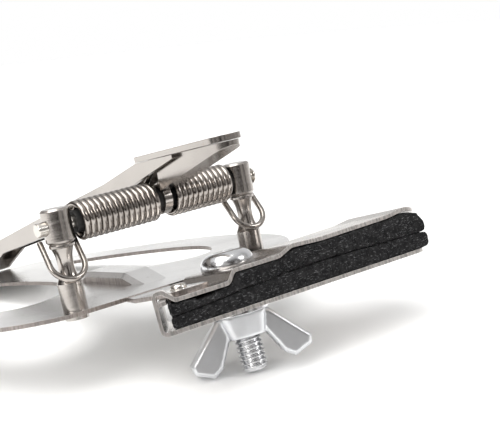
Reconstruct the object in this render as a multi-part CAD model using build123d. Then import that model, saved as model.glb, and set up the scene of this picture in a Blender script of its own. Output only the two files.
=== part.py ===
from build123d import *
from math import atan2, cos, degrees, radians, sin, tan
import os

# A music lyre with a sprung finger lever and a felt-lined clamp, in millimetres.
# The lyre plate lies in XY with its top face at Z = 0, the lever's axle runs along X,
# the music end is towards +Y, and the origin is midway between the two posts.
os.makedirs("parts", exist_ok=True)

# lyre plate
plateThickness = 0.75
plateFront = -3.2
lyreHalfWidth = 38.0
lyreLength = 79.0
beadStart = 4.2
beadEnd = 31.0
beadHalfWidth = 3.3
beadHeight = 2.0

# posts, axle and springs
postSpacing = 39.0
axleHeight = 15.0
axleRadius = 1.25
headRadius = 2.6
barRadius = 2.25
waistRadius = 1.4
tailRadius = 1.4
sleeveRadius = 2.0
runningGap = 0.05
wireRadius = 0.55
coilRadius = 3.05
coilPitch = 1.12
coilStart = 16.0
leftTurns = 14.25
rightTurns = 11.25
hookAngle = -38.0
hookRadius = 3.25
hookReach = 5.6
innerLegLength = 6.7

# lever
leverX = 2.0
leverSheet = 0.7
fingerHalfWidth = 3.5
fingerTipHalfWidth = 2.6
fingerEnd = 78.5
thumbHalfWidth = 3.2
thumbThickness = 1.05
thumbStart = 1.5
thumbEnd = -25.6
cradleHalfWidth = 2.4
eyeRadius = 2.75
eyeWidth = 1.6

# clamp, in its own axes: x along the jaws, y across them, w up the screw
clampPlace = Pos(0, -13.3, 1.25) * Rot(-7, 0, 0)
jawWidth = 16.0
stripThickness = 0.7
foldX = -16.05
splitX = -14.5
jawEnd = 44.2
jawLevel = -6.7
landLevel = 0.15
tabLevel = -1.65
screwX = 4.6
threadRadius = 2.4
screwEnd = -18.2
headDiameter = 9.6
headHeight = 2.9
feltEnd = 44.7
feltStart = -13.9
foldSkew = 33.0
cornerDepth = 2.7
tabX = -6.3
tabWidth = 8.7
rivetRadius = 1.5
nutTurn = -27.0
washerThickness = 0.75
hubBottom = -12.0


def save(shape, name):
    """Writes one sub-part under its node name."""
    export_step(shape, f"parts/{name}.step")


def mirrored(points):
    """Points of a right half outline, followed by their mirror images in X."""
    return points + [(-x, y) for x, y in reversed(points)]


def sideProfile(face, width):
    """A face drawn in (x, w), extruded across the clamp."""
    return Rot(90, 0, 0) * extrude(face, width / 2, both=True)


def lengthProfile(points, width, x=0.0):
    """A closed outline of (y, z) points, extruded along X about the given x."""
    face = make_face(Polyline(*points, close=True))
    solid = extrude(face, width / 2, both=True)
    return Pos(x, 0, 0) * Plane.YZ.location * solid


def lyrePlate():
    halfOutline = [(22, plateFront + 0.4), (31, 3.5), (36.5, 13), (lyreHalfWidth, 27), (35.5, 41)]
    halfOutline += [(28.5, 54), (20, 66), (10.5, 75.5)]
    rim = Spline(*halfOutline, (0, lyreLength), *[(-x, y) for x, y in reversed(halfOutline)])
    front = Line(rim @ 1, rim @ 0)
    plate = extrude(make_face(Curve() + [rim, front]), -plateThickness)
    window = [(14.5, 19.6), (22.5, 19.4), (26.2, 25), (26.4, 35), (22.8, 45), (16, 57), (9.8, 62.5)]
    window += [(7.0, 57.5), (4.7, 46), (4.4, 36), (6.4, 26)]
    opening = make_face(Spline(*window, periodic=True))
    for side in (1, -1):
        outline = opening if side == 1 else mirror(opening, about=Plane.YZ)
        plate -= extrude(outline, 2 * plateThickness, both=True)
        plate -= Pos(side * postSpacing / 2, 0, 0) * Cylinder(tailRadius + 0.02, 4)
    ridge = [(beadStart, -0.2), (beadStart + 7, beadHeight), (beadEnd - 5, beadHeight), (beadEnd, -0.2)]
    bead = lengthProfile(ridge, 2 * beadHalfWidth)
    bead = fillet(bead.edges().filter_by(Axis.X).sort_by(Axis.Z)[-2:], 3.0)
    bead = chamfer(bead.faces().sort_by(Axis.X)[0].edges().sort_by(Axis.Z)[1:], 0.9)
    bead = chamfer(bead.faces().sort_by(Axis.X)[-1].edges().sort_by(Axis.Z)[1:], 0.9)
    return plate + bead + clampTab() - rivetHole()


def clampTab():
    """The tongue of the plate that steps down onto the clamp's upper leaf."""
    top = tabLevel + stripThickness / 2 + plateThickness
    bottom = top - plateThickness
    outline = [(-4.9, bottom), (8.2, bottom), (11.2, -plateThickness), (11.2, 0), (8.2, top), (-4.9, top)]
    tab = lengthProfile(outline, tabWidth, tabX)
    corners = tab.edges().filter_by(Axis.Z).sort_by(Axis.Y)[:2]
    return clampPlace * fillet(corners, 3.0)


def rivetHole():
    return clampPlace * (Pos(tabX, 0, tabLevel) * Cylinder(rivetRadius * 0.62 + 0.02, 6))


def tabRivet():
    """Domed rivet that holds the clamp's upper leaf under the plate's tongue."""
    top = tabLevel + stripThickness / 2 + plateThickness
    bottom = tabLevel - stripThickness / 2
    shank = Pos(0, 0, (top + bottom) / 2) * Cylinder(rivetRadius * 0.62, top - bottom)
    dome = Pos(0, 0, top + 0.45) * Cylinder(rivetRadius, 0.9)
    dome = fillet(dome.edges().sort_by(Axis.Z)[-1], 0.8)
    foot = Pos(0, 0, bottom - 0.2) * Cylinder(rivetRadius * 0.8, 0.4)
    return clampPlace * (Pos(tabX, 0, 0) * (shank + dome + foot))


def post(side):
    """Turned post: riveted tail, bar, waist for the spring's hook, collar and drilled head."""
    tail = Polyline((0, -1.5), (tailRadius + 0.7, -1.5), (tailRadius + 0.7, -plateThickness))
    foot = Polyline(tail @ 1, (tailRadius, -plateThickness), (tailRadius, 0), (barRadius, 0), (barRadius, 5.0))
    waist = ThreePointArc((barRadius, 5.0), (waistRadius, 8.6), (2.0, 11.2))
    collar = Polyline(waist @ 1, (2.3, 11.35), (2.3, 11.75), (2.15, 11.95), (2.35, 12.1), (headRadius, 12.45))
    head = Polyline(collar @ 1, (headRadius, 17.75), (headRadius - 0.35, 18.1), (0, 18.1), (0, -1.5))
    profile = make_face(Curve() + [tail, foot, waist, collar, head])
    turned = revolve(Plane.XZ.location * profile, Axis.Z)
    bore = Pos(0, 0, axleHeight) * Rot(0, 90, 0) * Cylinder(axleRadius + 0.02, 8)
    return Pos(side * postSpacing / 2, 0, 0) * (turned - bore)


def axleRod():
    """Plain rod, cut flat at the left and peened over at the right."""
    left = -postSpacing / 2 - headRadius - 1.5
    right = postSpacing / 2 + headRadius + 0.1
    rod = Pos((left + right) / 2, 0, 0) * Rot(0, 90, 0) * Cylinder(axleRadius, right - left)
    rod = chamfer(rod.edges().sort_by(Axis.X)[0], 0.15)
    peened = Pos(right + 0.3, 0, 0) * Rot(0, 90, 0) * Cylinder(axleRadius + 0.35, 0.6)
    peened = fillet(peened.edges().sort_by(Axis.X)[-1], 0.5)
    return Pos(0, 0, axleHeight) * (rod + peened)


def axleSleeve():
    reach = postSpacing / 2 - headRadius - 0.3
    tube = Cylinder(sleeveRadius, 2 * reach) - Cylinder(axleRadius + 0.03, 2 * reach + 1)
    return Pos(0, 0, axleHeight) * Rot(0, 90, 0) * tube


def wire(path):
    """Round spring wire along one path."""
    section = Plane(origin=path @ 0, z_dir=path % 0) * Circle(wireRadius)
    return sweep(section, path=path)


def spring(turns):
    """Left-hand torsion spring: hook round the post's waist, coil, and a leg under the thumb plate."""
    start = radians(hookAngle)
    seat = Plane((-coilStart, 0, axleHeight), x_dir=(0, cos(start), sin(start)), z_dir=(1, 0, 0))
    turn = seat * Helix(coilPitch, coilPitch * turns, coilRadius)
    section = Plane(origin=turn @ 0, z_dir=turn % 0) * Circle(wireRadius)
    coil = sweep(section, path=turn, is_frenet=True)
    first = turn @ 0
    away = turn % 0 * -1
    bend = first + away * hookReach
    down = Vector(0, away.Y, away.Z).normalized()
    apex = Vector(bend.X - hookRadius, bend.Y, bend.Z) + down * hookRadius
    back = Vector(bend.X - 2 * hookRadius, bend.Y, bend.Z)
    tip = back - away * (hookReach - 0.6)
    hook = Curve() + [Line(first, bend), ThreePointArc(bend, apex, back), Line(back, tip)]
    last = turn @ 1
    leg = Line(last, last + turn % 1 * innerLegLength)
    return coil + wire(Wire(hook.edges())) + wire(leg)


def fingerLever():
    """Pressed channel that runs from under the thumb plate down to the music end of the lyre."""
    top = [(-12, 23.2), (0.5, 22.3), (14, 18.9), (43.5, 13.1), (68, 8.1), (75, 5.6), (fingerEnd, 3.0)]
    bottom = [(fingerEnd, 0.15), (76, 1.4), (68, 5.0), (43.5, 8.9), (14, 14.6), (3, 18.3), (-1, 19.5), (-12, 22.5)]
    shell = lengthProfile(top + bottom, 2 * fingerHalfWidth)
    inside = [(y, z - leverSheet) for y, z in top]
    inside = [(-14, inside[0][1])] + inside[:-1] + [(fingerEnd - leverSheet, inside[-1][1])]
    inside += [(fingerEnd - leverSheet, -5), (-14, -5)]
    plan = [(fingerHalfWidth, -12), (fingerHalfWidth, 20), (fingerTipHalfWidth, fingerEnd)]
    walls = [(x - leverSheet, y) for x, y in plan]
    shell = shell & extrude(make_face(Polyline(*mirrored(plan), close=True)), 30)
    inner = extrude(make_face(Polyline(*mirrored(walls), close=True)), 30)
    cavity = lengthProfile(inside, 2 * fingerHalfWidth) & inner
    return Pos(leverX, 0, 0) * (shell - cavity)


def thumbPlate():
    """Flat plate that lies along the lever above the springs."""
    outline = Pos(leverX, (thumbStart + thumbEnd) / 2) * Rectangle(2 * thumbHalfWidth, thumbStart - thumbEnd)
    outline = fillet(outline.vertices().sort_by(Axis.Y)[:2], 2.2)
    outline = fillet(outline.vertices().sort_by(Axis.Y)[-2:], 0.4)
    rise = -0.072
    plate = extrude(outline, thumbThickness)
    tilt = Pos(0, thumbStart, 22.29) * Rot(degrees(atan2(rise, 1)), 0, 0) * Pos(0, -thumbStart, 0)
    return tilt * plate


def leverCradle():
    """Trough under the thumb plate, closed and round at its end, with an eye that turns on the sleeve."""
    rim = [(-4.3, 21.9), (-12.05, 22.45), (-12.05, 23.22), (-26.0, 24.2)]
    floor = [(-26.0, 23.3), (-24.0, 22.6), (-4.3, 16.9)]
    body = lengthProfile(rim + floor, 2 * cradleHalfWidth)
    inside = [(y, z + leverSheet) for y, z in floor]
    inside = [(-3.0, 30), (-26.0, 30)] + inside[:-1] + [(-3.0, inside[-1][1] - 0.35)]
    hollow = lengthProfile(inside, 2 * (cradleHalfWidth - leverSheet))
    plan = Pos(0, -13) * Rectangle(2 * cradleHalfWidth, 26)
    plan = fillet(plan.vertices().sort_by(Axis.Y)[:2], cradleHalfWidth * 0.98)
    inner = Pos(0, -12.3) * Rectangle(2 * (cradleHalfWidth - leverSheet), 26 - leverSheet)
    inner = fillet(inner.vertices().sort_by(Axis.Y)[:2], (cradleHalfWidth - leverSheet) * 0.98)
    trough = (body & extrude(plan, 30)) - (hollow & extrude(inner, 40))
    eye = Pos(0, 0, axleHeight) * Rot(0, 90, 0) * Cylinder(eyeRadius, eyeWidth)
    strap = lengthProfile([(-4.6, 16.99), (-4.6, 17.6), (-0.9, 17.6), (-2.2, 16.3), (-3.4, 16.64)], eyeWidth)
    bore = Pos(0, 0, axleHeight) * Rot(0, 90, 0) * Cylinder(sleeveRadius + runningGap, 6)
    return Pos(leverX, 0, 0) * (trough + strap + eye - bore)


def leafPlan(end):
    """Seen from above: a strip from beyond the fold to its rounded free end."""
    plan = Pos(end / 2 - 10, 0) * Rectangle(end + 20, jawWidth)
    return fillet(plan.vertices().sort_by(Axis.X)[-2:], 3.0)


def skewCut(start):
    """Everything left of a skew line that passes the near edge of the clamp at x = start."""
    slope = tan(radians(foldSkew))
    near = start - slope
    far = start + slope * (jawWidth + 1)
    half = jawWidth / 2 + 1
    face = make_face(Polyline((-60, -half), (near, -half), (far, half), (-60, half), close=True))
    return Pos(0, 0, -30) * extrude(face, 60)


def skewStrip(points, radii, depth):
    """A bent strip extruded along the skew fold from the clamp's near edge."""
    section = Rot(90, 0, 0) * trace(FilletPolyline(*points, radius=radii), stripThickness)
    along = Vector(sin(radians(foldSkew)), cos(radians(foldSkew)), 0)
    reach = depth / cos(radians(foldSkew))
    return Pos(0, -jawWidth / 2, 0) * extrude(section, reach, dir=along)


def upperStrip():
    """The clamp's folded strip: skew end web, low seat for the tongue, land for the screw, wavy leaf."""
    points = [(foldX - 4, tabLevel), (-1.2, tabLevel), (0.3, landLevel), (10.2, landLevel), (13.2, 1.3)]
    points += [(20, 0.95), (36, 1.2), (40.5, 1.75), (43.4, 1.0)]
    radii = [1.2, 1.2, 3.0, 3.0, 12.0, 12.0, 4.0]
    leaf = sideProfile(trace(FilletPolyline(*points, radius=radii), stripThickness), jawWidth)
    leaf = leaf & (Pos(0, 0, -15) * extrude(leafPlan(jawEnd), 30))
    leaf -= skewCut(foldX + 1.0)
    leaf -= Pos(foldX, -jawWidth / 2, 0) * Box(8.2, 2 * cornerDepth, 20)
    leaf -= Pos(screwX, 0, landLevel) * Cylinder(threadRadius + 0.15, 4)
    web = [(splitX, jawLevel), (foldX, jawLevel), (foldX, tabLevel), (foldX + 2.0, tabLevel)]
    web = skewStrip(web, [1.0, 0.8], jawWidth)
    corner = [(foldX, tabLevel - 1.5), (foldX, landLevel), (-14.3, landLevel), (-12.2, tabLevel), (-11, tabLevel)]
    corner = skewStrip(corner, [0.8, 1.0, 1.0], cornerDepth)
    return clampPlace * (leaf + web + corner) - rivetHole()


def lowerJaw():
    """Flat lower leaf, which springs open about the fold as the nut backs off."""
    jaw = Pos(jawEnd / 2 - 15, 0, jawLevel) * Box(jawEnd + 30, jawWidth, stripThickness)
    jaw = fillet(jaw.edges().filter_by(Axis.Z).sort_by(Axis.X)[-2:], 3.0)
    jaw -= skewCut(splitX)
    return clampPlace * (jaw - Pos(screwX, 0, jawLevel) * Cylinder(threadRadius + 0.5, 4))


def feltPad(outline, boreRadius):
    pad = sideProfile(make_face(Polyline(*outline, close=True)), jawWidth + 0.5)
    pad = fillet(pad.edges().filter_by(Axis.Y).sort_by(Axis.X)[-2:], 0.9)
    pad -= skewCut(feltStart)
    return clampPlace * (pad - Pos(screwX, 0, -3) * Cylinder(boreRadius, 20))


def feltSeam():
    return [(feltStart, -4.15), (-6, -3.9), (2.5, -3.3), (17, -2.8), (27, -2.95), (feltEnd, -3.4)]


def upperFelt():
    leaf = [(feltEnd, -1.4), (43.2, 0.4), (40.5, 1.12), (36, 0.6), (20, 0.33), (13.4, 0.6), (10.4, -0.46)]
    leaf += [(0.6, -0.46), (-1.0, -2.25), (-4.2, -2.25), (-4.2, -2.7), (-8.4, -2.7), (-8.4, -2.25), (-12.6, -2.25)]
    return feltPad(feltSeam() + leaf + [(feltStart, -0.9)], threadRadius + 0.7)


def lowerFelt():
    base = jawLevel + stripThickness / 2 + 0.02
    seam = [(x, w - 0.1) for x, w in feltSeam()]
    return feltPad([(feltEnd, base), (feltStart, base)] + seam, threadRadius + 0.9)


def clampScrew():
    """Pan-head machine screw with a cross recess."""
    seat = landLevel + stripThickness / 2
    head = Pos(0, 0, seat + headHeight / 2) * Cylinder(headDiameter / 2, headHeight)
    head = fillet(head.edges().sort_by(Axis.Z)[-1], headHeight * 0.8)
    slot = Box(5.0, 1.0, 2.4) + Box(1.0, 5.0, 2.4)
    head -= Pos(0, 0, seat + headHeight) * Rot(0, 0, 20) * slot
    length = seat - screwEnd
    shank = Pos(0, 0, seat - length / 2) * Cylinder(threadRadius, length)
    shank = chamfer(shank.edges().sort_by(Axis.Z)[0], 0.5)
    return clampPlace * (Pos(screwX, 0, 0) * (head + shank))


def jawWasher():
    top = jawLevel - stripThickness / 2 - 0.03
    ring = Cylinder(5.1, washerThickness) - Cylinder(threadRadius + 0.15, 2)
    return clampPlace * (Pos(screwX, 0, top - washerThickness / 2) * ring)


def wingNut():
    """Die-cast nut: tapered hub and two flat wings that point away from the clamp."""
    top = jawLevel - stripThickness / 2 - 0.03 - washerThickness
    base = Pos(0, 0, hubBottom) * Rectangle(6.2, 7.4)
    crown = Pos(0, 0, top) * Rectangle(8.2, 8.2)
    hub = loft([fillet(base.vertices(), 1.2), fillet(crown.vertices(), 1.6)])
    wingOutline = [(2.4, top), (4.8, top - 0.2), (11.0, -14.6), (10.7, -16.2), (7.4, -17.6), (5.6, -16.4)]
    wingOutline += [(3.3, hubBottom)]
    wing = sideProfile(make_face(Polyline(*wingOutline, close=True)), 4.4)
    wing = chamfer(wing.faces().sort_by(Axis.Y)[0].edges(), 0.5)
    wing = chamfer(wing.faces().sort_by(Axis.Y)[-1].edges(), 0.5)
    nut = hub + wing + Rot(0, 0, 180) * wing - Cylinder(threadRadius + 0.05, 60)
    return clampPlace * (Pos(screwX, 0, 0) * Rot(0, 0, nutTurn) * nut)


save(lyrePlate(), "lyre_plate")
save(tabRivet(), "tab_rivet")
save(post(-1), "left_post")
save(post(1), "right_post")
save(axleRod(), "axle_rod")
save(axleSleeve(), "axle_sleeve")
save(spring(leftTurns), "left_spring")
save(mirror(spring(rightTurns), about=Plane.YZ), "right_spring")
save(fingerLever(), "finger_lever")
save(thumbPlate(), "thumb_plate")
save(leverCradle(), "lever_cradle")
save(upperStrip(), "upper_jaw")
save(lowerJaw(), "lower_jaw")
save(upperFelt(), "upper_felt")
save(lowerFelt(), "lower_felt")
save(clampScrew(), "clamp_screw")
save(jawWasher(), "jaw_washer")
save(wingNut(), "wing_nut")
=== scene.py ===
import math
from mathutils import Matrix, Vector, noise
import bmesh
import bpy


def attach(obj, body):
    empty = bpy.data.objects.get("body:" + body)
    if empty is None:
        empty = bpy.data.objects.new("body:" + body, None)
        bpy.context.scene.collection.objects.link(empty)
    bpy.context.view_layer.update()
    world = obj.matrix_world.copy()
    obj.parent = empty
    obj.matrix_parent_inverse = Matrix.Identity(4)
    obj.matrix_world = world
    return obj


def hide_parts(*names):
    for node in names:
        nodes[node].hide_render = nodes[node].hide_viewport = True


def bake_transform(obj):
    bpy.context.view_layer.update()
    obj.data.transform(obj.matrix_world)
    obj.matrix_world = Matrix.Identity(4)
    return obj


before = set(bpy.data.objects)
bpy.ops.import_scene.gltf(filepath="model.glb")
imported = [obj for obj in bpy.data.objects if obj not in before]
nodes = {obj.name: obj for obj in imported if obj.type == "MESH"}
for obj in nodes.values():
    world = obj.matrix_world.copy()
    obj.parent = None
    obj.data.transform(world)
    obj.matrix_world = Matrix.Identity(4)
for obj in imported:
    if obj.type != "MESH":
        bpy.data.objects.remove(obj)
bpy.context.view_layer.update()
mm = 0.001
weldDistance = 0.002 * mm
print("frame loaded")

# the camera stands to the left of the clamp, a little above it (place in mm)
view = {
    "place": (-115.1, -194.8, 35.2),
    "right": (0.792, -0.579, -0.193),
    "up": (0.228, -0.013, 0.974),
    "lens": 90,
    "sensor": 36,
    "clipStart": 0.005,
}


def addCamera():
    camera = bpy.data.objects.new("camera", bpy.data.cameras.new("camera"))
    bpy.context.scene.collection.objects.link(camera)
    right = Vector(view["right"]).normalized()
    back = right.cross(Vector(view["up"])).normalized()
    up = back.cross(right)
    turn = Matrix((right, up, back)).transposed().to_4x4()
    camera.matrix_world = Matrix.Translation(Vector(view["place"]) * mm) @ turn
    camera.data.lens = view["lens"]
    camera.data.sensor_width = view["sensor"]
    camera.data.clip_start = view["clipStart"]
    bpy.context.scene.camera = camera


addCamera()

# one joint frame for everything on the clamp: x along the jaws, v across them, w up the screw
clamp = {"origin": (0, -13.3, 1.25), "tilt": -7.0, "screwX": 4.6}
clampTurn = Matrix.Rotation(math.radians(clamp["tilt"]), 4, "X")
clampPlace = Matrix.Translation(Vector(clamp["origin"]) * mm) @ clampTurn
clampAcross = clampPlace.to_3x3() @ Vector((0, 1, 0))


# shader maths
class Wire:
    def __init__(self, sheet, socket):
        self.sheet = sheet
        self.socket = socket

    def maths(self, operation, *others):
        return self.sheet.add("ShaderNodeMath", {"operation": operation}, [self, *others])

    def __add__(self, other):
        return self.maths("ADD", other)

    def __radd__(self, other):
        return self.maths("ADD", other)

    def __sub__(self, other):
        return self.maths("SUBTRACT", other)

    def __rsub__(self, other):
        return self.sheet.add("ShaderNodeMath", {"operation": "SUBTRACT"}, [other, self])

    def __mul__(self, other):
        return self.maths("MULTIPLY", other)

    def __rmul__(self, other):
        return self.maths("MULTIPLY", other)

    def __abs__(self):
        return self.maths("ABSOLUTE")

    def ramp(self, low, high):
        settings = {"interpolation_type": "SMOOTHSTEP"}
        return self.sheet.add("ShaderNodeMapRange", settings, [self, low, high, 0.0, 1.0])


class Sheet:
    def __init__(self, tree):
        self.tree = tree

    def add(self, kind, settings, values):
        made = self.tree.nodes.new(kind)
        for name, value in settings.items():
            if name != "output":
                setattr(made, name, value)
        pairs = values.items() if isinstance(values, dict) else enumerate(values)
        for key, value in pairs:
            self.plug(made.inputs[key], value)
        return Wire(self, made.outputs[settings.get("output", 0)])

    def plug(self, socket, value):
        if isinstance(value, Wire):
            self.tree.links.new(value.socket, socket)
        else:
            socket.default_value = value

    def mix(self, mask, first, second):
        # the colour sockets of a Mix node are its seventh and eighth, and its colour result is the third
        made = self.tree.nodes.new("ShaderNodeMix")
        made.data_type = "RGBA"
        self.plug(made.inputs["Factor"], mask)
        for index, colour in ((6, first), (7, second)):
            self.plug(made.inputs[index], colour if isinstance(colour, Wire) else (*colour, 1))
        return Wire(self, made.outputs[2])


class Finish(Sheet):
    def __init__(self, name):
        self.material = bpy.data.materials.new(name)
        self.material.use_nodes = True
        super().__init__(self.material.node_tree)
        self.shader = self.tree.nodes["Principled BSDF"]
        self.spot = self.add("ShaderNodeTexCoord", {"output": "Object"}, [])

    def noise(self, scale, detail=3.0, stretch=(1, 1, 1), turn=(0, 0, 0)):
        place = {"Vector": self.spot, "Scale": stretch, "Rotation": turn}
        values = {"Vector": self.add("ShaderNodeMapping", {}, place), "Scale": scale, "Detail": detail}
        return self.add("ShaderNodeTexNoise", {"noise_dimensions": "3D", "output": "Fac"}, values)

    def facing(self, direction):
        normal = self.add("ShaderNodeTexCoord", {"output": "Normal"}, [])
        settings = {"operation": "DOT_PRODUCT", "output": "Value"}
        return abs(self.add("ShaderNodeVectorMath", settings, [normal, direction]))

    def bump(self, height, strength, distance=0.0001, rounding=0.0):
        values = {"Strength": strength, "Distance": distance, "Height": height}
        if rounding:
            values["Normal"] = self.add("ShaderNodeBevel", {"samples": 6}, {"Radius": rounding * mm})
        self.set("Normal", self.add("ShaderNodeBump", {}, values))

    def set(self, socket, value):
        self.plug(self.shader.inputs[socket], value)


def shaded(tint, share):
    return tuple(c * share for c in tint)


# plated sheet: slightly streaky. With an edge direction, faces that look along it (edgeOn) or away
# from it are sheared edges, with fine marks down them
plating = {
    "edgeFrom": 0.55, "edgeTo": 0.75, "edgeRough": 0.1, "markHeight": 1.2,
    "spotShare": 0.35, "spot": (0.30, 0.24, 0.19),
}


def platedSheet(name, tint, streak, edge=None, edgeOn=False, rough=0.22, sheared=(0.40, 0.36, 0.34)):
    finish = Finish(name)
    cloud = finish.noise(60, 4)
    grain = finish.noise(900, 2, streak)
    spots = finish.noise(700, 2).ramp(0.66, 0.74)
    dull = finish.mix(cloud.ramp(0.35, 0.7), tint, shaded(tint, 0.86))
    colour = finish.mix(spots * plating["spotShare"], dull, plating["spot"])
    roughness = cloud * 0.12 + grain * 0.10 + (rough - 0.09)
    height = grain * 0.35 + cloud * 0.5
    if edge:
        along = finish.facing(edge).ramp(plating["edgeFrom"], plating["edgeTo"])
        mask = along if edgeOn else 1 - along
        marks = finish.noise(3200, 2, (1, 1, 0.12))
        # sheared edges with fine marks; where the sheared tone is paler than the sheet (the jaw's) it is
        # also a painted highlight along the edge
        cutEdgeAndHighlight = finish.mix(marks.ramp(0.3, 0.62), shaded(sheared, 0.6), sheared)
        colour = finish.mix(mask, colour, cutEdgeAndHighlight)
        roughness = roughness + mask * plating["edgeRough"]
        height = height + mask * marks * plating["markHeight"]
    finish.set("Base Color", colour)
    finish.set("Metallic", 1.0)
    finish.set("Roughness", roughness)
    finish.bump(height, 0.12, 0.00004, 0.12)
    return finish.material


# turned or drawn metal: fine rings or lines round the axis that is not stretched
def turnedMetal(name, tint, stretch, rough=0.2, depth=0.3):
    finish = Finish(name)
    rings = finish.noise(1500, 2, stretch)
    cloud = finish.noise(180, 3)
    finish.set("Base Color", finish.mix(cloud.ramp(0.4, 0.75), tint, shaded(tint, 0.78)))
    finish.set("Metallic", 1.0)
    finish.set("Roughness", rings * 0.14 + cloud * 0.08 + (rough - 0.1))
    finish.bump(rings + cloud * 0.6, depth, 0.00004, 0.1)
    return finish.material


# zinc plate over a cast or pressed surface
def zincPlate(name, tint, pits, rough):
    finish = Finish(name)
    cloud = finish.noise(150, 4)
    sand = finish.noise(2200, 3)
    finish.set("Base Color", finish.mix(cloud.ramp(0.35, 0.7), tint, shaded(tint, 0.84)))
    finish.set("Metallic", 1.0)
    finish.set("Roughness", cloud * 0.12 + sand * 0.04 + (rough - 0.08))
    finish.bump(sand * pits + cloud * 0.5, 0.06, 0.00004, 0.15)
    return finish.material


def blackTube():
    finish = Finish("blackTube")
    cloud = finish.noise(500, 3)
    colour = finish.mix(cloud.ramp(0.3, 0.7), (0.012, 0.012, 0.013), (0.03, 0.029, 0.028))
    finish.set("Base Color", colour)
    finish.set("Roughness", cloud * 0.2 + 0.38)
    finish.bump(cloud, 0.2, 0.00004)
    return finish.material


def pressedFelt():
    finish = Finish("pressedFelt")
    clumps = finish.noise(900, 5)
    fibres = finish.noise(3600, 3, (1, 0.35, 0.6), (0.4, 0.3, 0.8))
    flecks = finish.noise(4200, 4, (0.35, 1, 1), (0.9, 0.2, 0.4)).ramp(0.56, 0.74)
    tones = (0.003, 0.003, 0.0035), (0.016, 0.0155, 0.016)
    dark = finish.mix(clumps.ramp(0.35, 0.75), *tones)
    finish.set("Base Color", finish.mix(flecks * 0.6, dark, (0.16, 0.16, 0.165)))
    finish.set("Roughness", 0.96)
    finish.set("Specular IOR Level", 0.15)
    finish.set("Sheen Weight", 0.03)
    finish.set("Sheen Roughness", 0.6)
    finish.bump(clumps * 1.2 + fibres, 0.9, 0.00025)
    return finish.material


def looseFibre():
    finish = Finish("looseFibre")
    tone = finish.noise(400, 2)
    colour = finish.mix(tone.ramp(0.3, 0.7), (0.02, 0.02, 0.022), (0.30, 0.30, 0.31))
    finish.set("Base Color", colour)
    finish.set("Roughness", 0.9)
    return finish.material


warmNickel = (0.49, 0.457, 0.43)
# the jaw's sheared edges: real cut edges, paled into a painted highlight
clampEdgeHighlight = (0.66, 0.625, 0.60)
paleNickel = (0.70, 0.665, 0.62)
coolZinc = (0.80, 0.805, 0.82)
looks = {
    "plate": platedSheet("plateNickel", (0.85, 0.84, 0.83), (0.06, 1, 1), (0, 0, 1), rough=0.2),
    "finger": platedSheet("fingerNickel", (0.46, 0.43, 0.405), (1, 0.05, 1), rough=0.18),
    "jaw": platedSheet("jawNickel", warmNickel, (0.05, 1, 1), tuple(clampAcross), True, 0.22, clampEdgeHighlight),
    "post": turnedMetal("postNickel", warmNickel, (0.05, 0.05, 1)),
    "axle": turnedMetal("axleNickel", paleNickel, (1, 0.05, 0.05), 0.24),
    "wire": turnedMetal("springWire", (0.41, 0.377, 0.35), (0.3, 1, 1), 0.17, 0.15),
    "screw": zincPlate("screwZinc", coolZinc, 0.3, 0.2),
    "cast": zincPlate("castZinc", (0.76, 0.77, 0.79), 0.35, 0.36),
    "tube": blackTube(),
    "felt": pressedFelt(),
    "fibre": looseFibre(),
}
print("materials made")


def dress(piece, look):
    piece.data.materials.clear()
    piece.data.materials.append(looks[look])


keptLooks = {
    "lyre_plate": "plate", "tab_rivet": "axle", "left_post": "post", "right_post": "post",
    "axle_rod": "axle", "axle_sleeve": "tube", "finger_lever": "finger", "thumb_plate": "finger",
    "lever_cradle": "finger", "upper_jaw": "jaw", "lower_jaw": "jaw", "jaw_washer": "screw",
}
for nodeName, look in keptLooks.items():
    dress(nodes[nodeName], look)


def pieceFrom(name, mesh, body, slot, *replaced):
    piece = bpy.data.objects.new(name, mesh)
    bpy.context.scene.collection.objects.link(piece)
    for face in mesh.polygons:
        face.use_smooth = True
    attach(piece, body)
    if replaced:
        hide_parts(*replaced)
    return piece


def settled(piece):
    # the evaluated mesh of a helper object, which is then removed
    graph = bpy.context.evaluated_depsgraph_get()
    mesh = bpy.data.meshes.new_from_object(piece.evaluated_get(graph))
    bpy.data.objects.remove(piece)
    return mesh


def helper(mesh):
    piece = bpy.data.objects.new("helper", mesh)
    bpy.context.scene.collection.objects.link(piece)
    return piece


def mergedCopy(nodeName):
    shape = bmesh.new()
    shape.from_mesh(nodes[nodeName].data)
    bmesh.ops.remove_doubles(shape, verts=shape.verts, dist=weldDistance)
    mesh = bpy.data.meshes.new(nodeName + "Copy")
    shape.to_mesh(mesh)
    shape.free()
    return mesh


def softened(nodeName, voxel, smoothing, levels):
    # a closed copy of a node with its edges rounded over
    piece = helper(mergedCopy(nodeName))
    remesh = piece.modifiers.new("remesh", "REMESH")
    remesh.mode = "VOXEL"
    remesh.voxel_size = voxel * mm
    soften = piece.modifiers.new("soften", "SMOOTH")
    soften.factor = 0.5
    soften.iterations = smoothing
    finer = piece.modifiers.new("finer", "SUBSURF")
    finer.levels = levels
    finer.render_levels = levels
    return settled(piece)


# felt pads: softened, then roughened with broad lumps and a fine nap
felts = {
    "upper": {"node": "upper_felt", "body": "lyre", "seed": 3.0},
    "lower": {"node": "lower_felt", "body": "lower_leaf", "seed": 17.0},
    "voxel": 0.42, "smoothing": 4, "lump": 0.13, "lumpScale": 0.42, "nap": 0.05, "napScale": 1.7,
    "levels": 1,
}


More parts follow.
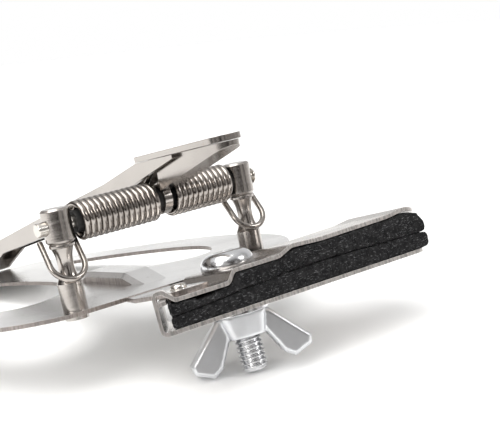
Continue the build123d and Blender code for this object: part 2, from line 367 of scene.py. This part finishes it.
def feltPad(which):
    pad = felts[which]
    mesh = softened(pad["node"], felts["voxel"], felts["smoothing"], felts["levels"])
    shift = Vector((pad["seed"], 0, 0))
    moved = []
    for spot, normal in [(v.co.copy(), v.normal.copy()) for v in mesh.vertices]:
        lump = noise.noise(spot / mm * felts["lumpScale"] + shift) * felts["lump"]
        nap = noise.noise(spot / mm * felts["napScale"] + shift) * felts["nap"]
        moved.extend(spot + normal * (lump + nap) * mm)
    mesh.vertices.foreach_set("co", moved)
    piece = pieceFrom(pad["node"] + "_pad", mesh, pad["body"], "felt", pad["node"])
    dress(piece, "felt")
    return piece


pads = {which: feltPad(which) for which in ("upper", "lower")}
print("felts made")


# geometry nodes
class Tree:
    def __init__(self, name, inputs):
        self.group = bpy.data.node_groups.new(name, "GeometryNodeTree")
        self.group.interface.new_socket("Geometry", in_out="INPUT", socket_type="NodeSocketGeometry")
        for label, kind in inputs.items():
            self.group.interface.new_socket(label, in_out="INPUT", socket_type="NodeSocket" + kind)
        self.group.interface.new_socket("Geometry", in_out="OUTPUT", socket_type="NodeSocketGeometry")
        self.start = self.group.nodes.new("NodeGroupInput")
        self.end = self.group.nodes.new("NodeGroupOutput")

    def given(self, label):
        return self.start.outputs[label]

    def add(self, kind, settings, values, output=0):
        made = self.group.nodes.new(kind)
        for name, value in settings.items():
            setattr(made, name, value)
        for key, value in values.items():
            if isinstance(value, bpy.types.NodeSocket):
                self.group.links.new(value, made.inputs[key])
            else:
                made.inputs[key].default_value = value
        return made.outputs[output]

    def close(self, geometry):
        realized = self.add("GeometryNodeRealizeInstances", {}, {"Geometry": geometry})
        values = {"Geometry": realized, "Material": self.given("Material")}
        coated = self.add("GeometryNodeSetMaterial", {}, values)
        self.group.links.new(coated, self.end.inputs["Geometry"])
        return self.group


def grown(piece, group, values):
    modifier = piece.modifiers.new(group.name, "NODES")
    modifier.node_group = group
    for item in group.interface.items_tree:
        if item.in_out == "INPUT" and item.name in values:
            modifier[item.identifier] = values[item.name]
    return settled(piece)


def wireTree():
    tree = Tree("roundWire", {"Radius": "Float", "Sides": "Int", "Material": "Material"})
    sizes = {"Radius": tree.given("Radius"), "Resolution": tree.given("Sides")}
    ring = tree.add("GeometryNodeCurvePrimitiveCircle", {}, sizes)
    values = {"Curve": tree.given("Geometry"), "Profile Curve": ring, "Fill Caps": True}
    swept = tree.add("GeometryNodeCurveToMesh", {}, values)
    return tree.close(tree.add("GeometryNodeSetShadeSmooth", {}, {"Geometry": swept}))


def pathCurve(points):
    data = bpy.data.curves.new("path", "CURVE")
    data.dimensions = "3D"
    line = data.splines.new("POLY")
    line.points.add(len(points) - 1)
    for point, spot in zip(line.points, points):
        point.co = (*(Vector(spot) * mm), 1)
    return helper(data)


# torsion springs: hook round the post, coil on the sleeve, leg under the thumb plate
springs = {
    "left_spring": {"side": -1, "turns": 14.25},
    "right_spring": {"side": 1, "turns": 11.25},
    "axle": 15.0, "start": 16.0, "pitch": 1.12, "coil": 3.05, "wire": 0.55,
    "angle": -38.0, "reach": 5.6, "hook": 3.25, "leg": 6.7, "perTurn": 40, "sides": 14,
    "hookSteps": 24, "tipShort": 0.6,
}


def springPath(side, turns):
    s = springs
    first = math.radians(s["angle"])
    points = []
    steps = int(turns * s["perTurn"])
    for i in range(steps + 1):
        angle = first + 2 * math.pi * turns * i / steps
        x = s["start"] - s["pitch"] * turns * i / steps
        points.append(Vector((x, s["coil"] * math.cos(angle), s["axle"] + s["coil"] * math.sin(angle))))
    away = (points[0] - points[1]).normalized()
    down = Vector((0, away.y, away.z)).normalized()
    bend = points[0] + away * s["reach"]
    centre = bend + Vector((s["hook"], 0, 0))
    hook = []
    for i in range(s["hookSteps"] + 1):
        turn = math.pi * i / s["hookSteps"]
        sideways = Vector((-s["hook"] * math.cos(turn), 0, 0))
        hook.append(centre + sideways + down * s["hook"] * math.sin(turn))
    tip = hook[-1] - away * (s["reach"] - s["tipShort"])
    leg = points[-1] + (points[-1] - points[-2]).normalized() * s["leg"]
    path = [tip] + hook[::-1] + points + [leg]
    return [Vector((side * p.x, p.y, p.z)) for p in path]


roundWire = wireTree()
for springName in ("left_spring", "right_spring"):
    spring = springs[springName]
    path = springPath(spring["side"], spring["turns"])
    values = {"Radius": springs["wire"] * mm, "Sides": springs["sides"], "Material": looks["wire"]}
    mesh = grown(pathCurve(path), roundWire, values)
    piece = bpy.data.objects.new(springName + "_wire", mesh)
    bpy.context.scene.collection.objects.link(piece)
    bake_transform(piece)
    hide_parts(springName)
print("springs made")


# clamp screw: the pressed head from the frame, over a rolled thread
screw = {
    "seat": 0.5, "end": -18.2, "crest": 2.4, "root": 2.02, "pitch": 0.8, "around": 48, "perPitch": 10,
    "point": 0.7, "pointDepth": 0.55, "flank": 2.6, "flat": 0.2, "overlap": 0.02, "sharp": 35,
}


def threadMesh(shape):
    s = screw
    rows = int((s["seat"] - s["end"]) / s["pitch"] * s["perPitch"])
    rings = []
    for row in range(rows + 1):
        w = s["end"] + (s["seat"] - s["end"]) * row / rows
        taper = min(1.0, (w - s["end"]) / s["point"])
        ring = []
        for column in range(s["around"]):
            angle = 2 * math.pi * column / s["around"]
            phase = (w / s["pitch"] - column / s["around"]) % 1.0
            depth = min(1.0, max(0.0, abs(phase - 0.5) * s["flank"] - s["flat"]))
            radius = s["crest"] - (s["crest"] - s["root"]) * depth
            radius = min(radius, s["crest"] - (1 - taper) * s["pointDepth"])
            ring.append(shape.verts.new((radius * math.cos(angle), radius * math.sin(angle), w)))
        rings.append(ring)
    for low, high in zip(rings, rings[1:]):
        for column in range(s["around"]):
            after = (column + 1) % s["around"]
            shape.faces.new((low[column], low[after], high[after], high[column]))
    shape.faces.new(rings[0][::-1])
    shape.faces.new(rings[-1])


def clampScrew():
    thread = bmesh.new()
    threadMesh(thread)
    axis = Matrix.Translation(Vector((clamp["screwX"], 0, 0)) * mm)
    place = clampPlace @ axis @ Matrix.Scale(mm, 4)
    bmesh.ops.transform(thread, matrix=place, verts=thread.verts)
    head = bmesh.new()
    head.from_mesh(mergedCopy("clamp_screw"))
    seat = clampPlace @ (Vector((0, 0, screw["seat"] - screw["overlap"])) * mm)
    up = clampPlace.to_3x3() @ Vector((0, 0, 1))
    everything = head.verts[:] + head.edges[:] + head.faces[:]
    bmesh.ops.bisect_plane(head, geom=everything, plane_co=seat, plane_no=up, clear_inner=True)
    bmesh.ops.holes_fill(head, edges=[e for e in head.edges if e.is_boundary])
    joined = bpy.data.meshes.new("clampScrew")
    head.to_mesh(joined)
    thread.from_mesh(joined)
    thread.to_mesh(joined)
    head.free()
    thread.free()
    return joined


screwPiece = pieceFrom("clamp_screw_threaded", clampScrew(), "lyre", "zinc", "clamp_screw")
screwPiece.data.set_sharp_from_angle(angle=math.radians(screw["sharp"]))
dress(screwPiece, "screw")

# wing nut: die-cast, so every edge is rounded over
cast = {"voxel": 0.2, "smoothing": 3, "levels": 1}
nutMesh = softened("wing_nut", cast["voxel"], cast["smoothing"], cast["levels"])
nutPiece = pieceFrom("wing_nut_cast", nutMesh, "nut", "zinc", "wing_nut")
dress(nutPiece, "cast")
print("screw and nut made")


# loose fibres on the felt
fuzz = {
    "density": 2.6e6, "length": 0.42, "thick": 0.011, "bend": 0.45, "lean": 0.6, "spin": 6.28,
    "shortest": 0.3,
}


def fuzzTree():
    inputs = {"Density": "Float", "Length": "Float", "Thickness": "Float", "Bend": "Float"}
    inputs.update({"Seed": "Int", "Material": "Material"})
    tree = Tree("looseFibres", inputs)
    give = tree.given
    scattered = tree.group.nodes.new("GeometryNodeDistributePointsOnFaces")
    tree.group.links.new(give("Geometry"), scattered.inputs["Mesh"])
    tree.group.links.new(give("Density"), scattered.inputs["Density"])
    tree.group.links.new(give("Seed"), scattered.inputs["Seed"])
    middle = tree.add("ShaderNodeCombineXYZ", {}, {"X": give("Bend"), "Z": give("Length")})
    end = tree.add("ShaderNodeCombineXYZ", {}, {"X": give("Length"), "Z": give("Bend")})
    values = {"Resolution": 3, "Start": (0, 0, 0), "Middle": middle, "End": end}
    strand = tree.add("GeometryNodeCurveQuadraticBezier", {}, values)
    values = {"Radius": give("Thickness"), "Resolution": 3}
    ring = tree.add("GeometryNodeCurvePrimitiveCircle", {}, values)
    values = {"Curve": strand, "Profile Curve": ring, "Fill Caps": True}
    hair = tree.add("GeometryNodeCurveToMesh", {}, values)
    lean = fuzz["lean"]
    values = {"Min": (-lean, -lean, 0), "Max": (lean, lean, fuzz["spin"]), "Seed": give("Seed")}
    turn = tree.add("FunctionNodeRandomValue", {"data_type": "FLOAT_VECTOR"}, values)
    # the float sockets of a Random Value node are its third and fourth, and its float result the second
    values = {2: fuzz["shortest"], 3: 1.0, "Seed": give("Seed")}
    size = tree.add("FunctionNodeRandomValue", {"data_type": "FLOAT"}, values, 1)
    values = {"Rotation": scattered.outputs["Rotation"], "Rotate By": turn}
    spun = tree.add("FunctionNodeRotateRotation", {"rotation_space": "LOCAL"}, values)
    values = {"Points": scattered.outputs["Points"], "Instance": hair, "Rotation": spun, "Scale": size}
    return tree.close(tree.add("GeometryNodeInstanceOnPoints", {}, values))


fuzzGroup = fuzzTree()
for which, pad in pads.items():
    felt = felts[which]
    length = fuzz["length"] * mm
    values = {"Density": fuzz["density"], "Length": length, "Thickness": fuzz["thick"] * mm}
    values.update({"Bend": fuzz["bend"] * length, "Seed": int(felt["seed"]), "Material": looks["fibre"]})
    mesh = grown(helper(pad.data.copy()), fuzzGroup, values)
    pieceFrom(felt["node"] + "_fibres", mesh, felt["body"], "felt")
print("fibres made")


# pale floor under the screw's end and the plate's far end, and soft studio light
ground = {
    "tilt": 9.8, "spot": (4.5, -15.6, -17.45), "radius": 0.5, "sides": 96,
    "tint": (0.93, 0.93, 0.925, 1), "rough": 0.75, "specular": 0.1,
}


def addFloor():
    turn = Matrix.Rotation(math.radians(ground["tilt"]), 4, "X")
    shape = bmesh.new()
    size = {"segments": ground["sides"], "radius": ground["radius"]}
    bmesh.ops.create_circle(shape, cap_ends=True, **size)
    mesh = bpy.data.meshes.new("floor")
    shape.to_mesh(mesh)
    shape.free()
    floor = bpy.data.objects.new("floor", mesh)
    floor.matrix_world = Matrix.Translation(Vector(ground["spot"]) * mm) @ turn
    bpy.context.scene.collection.objects.link(floor)
    finish = Finish("paleFloor")
    finish.set("Base Color", ground["tint"])
    finish.set("Roughness", ground["rough"])
    finish.set("Specular IOR Level", ground["specular"])
    mesh.materials.append(finish.material)


# the room that the metal reflects: dark warm patches round the horizon, white overhead and beyond
room = {
    "patch": 1.9, "seed": 2.3, "dark": (0.030, 0.022, 0.019), "light": (0.62, 0.60, 0.585),
    "patchFrom": 0.49, "patchTo": 0.60, "skyFrom": 0.35, "skyTo": 0.95,
    "beyondFrom": 0.35, "beyondTo": 0.85, "beyondAim": (0.8, 0.6, 0.0),
    "beyond": (0.85, 0.85, 0.85), "sky": (0.92, 0.92, 0.92),
    "reflected": 0.85, "ambient": (1.0, 1.0, 1.0), "lit": 0.92, "seen": (1.0, 1.0, 1.0),
}


def addWorld():
    world = bpy.data.worlds.new("studio")
    world.use_nodes = True
    bpy.context.scene.world = world
    sheet = Sheet(world.node_tree)

    def glow(colour, strength):
        colour = colour if isinstance(colour, Wire) else (*colour, 1)
        return sheet.add("ShaderNodeBackground", {}, {"Color": colour, "Strength": strength})

    def choose(ray, otherwise, chosen):
        mask = sheet.add("ShaderNodeLightPath", {"output": ray}, [])
        return sheet.add("ShaderNodeMixShader", {}, [mask, otherwise, chosen])

    aim = sheet.add("ShaderNodeTexCoord", {"output": "Generated"}, [])
    values = {"Vector": aim, "W": room["seed"], "Scale": room["patch"], "Detail": 1.0}
    patches = sheet.add("ShaderNodeTexNoise", {"noise_dimensions": "4D", "output": "Fac"}, values)
    height = sheet.add("ShaderNodeSeparateXYZ", {"output": "Z"}, [aim])
    settings = {"operation": "DOT_PRODUCT", "output": "Value"}
    past = sheet.add("ShaderNodeVectorMath", settings, [aim, room["beyondAim"]])
    wall = sheet.mix(patches.ramp(room["patchFrom"], room["patchTo"]), room["dark"], room["light"])
    wall = sheet.mix(past.ramp(room["beyondFrom"], room["beyondTo"]), wall, room["beyond"])
    wall = sheet.mix(height.ramp(room["skyFrom"], room["skyTo"]), wall, room["sky"])
    mirrored = glow(wall, room["reflected"])
    lit = choose("Is Glossy Ray", glow(room["ambient"], room["lit"]), mirrored)
    shown = choose("Is Camera Ray", lit, glow(room["seen"], 1.0))
    sheet.plug(world.node_tree.nodes["World Output"].inputs[0], shown)


# every lamp looks at the origin
lamps = {
    "top": {"place": (-0.25, -0.1, 0.75), "size": 0.7, "power": 5.0, "tint": (1.0, 0.99, 0.97)},
    "left": {"place": (-0.65, -0.25, 0.35), "size": 0.3, "power": 1.3, "tint": (1.0, 0.98, 0.95)},
    "right": {"place": (0.5, -0.6, 0.4), "size": 0.25, "power": 1.3, "tint": (1.0, 1.0, 1.0)},
}


def addLamps():
    for name, lamp in lamps.items():
        data = bpy.data.lights.new(name, "AREA")
        data.shape = "SQUARE"
        data.size = lamp["size"]
        data.energy = lamp["power"]
        data.color = lamp["tint"]
        light = bpy.data.objects.new(name, data)
        place = Vector(lamp["place"])
        turn = place.to_track_quat("Z", "Y").to_matrix().to_4x4()
        light.matrix_world = Matrix.Translation(place) @ turn
        bpy.context.scene.collection.objects.link(light)


addFloor()
addWorld()
addLamps()
bpy.context.scene.view_settings.view_transform = "Standard"
print("stage set")
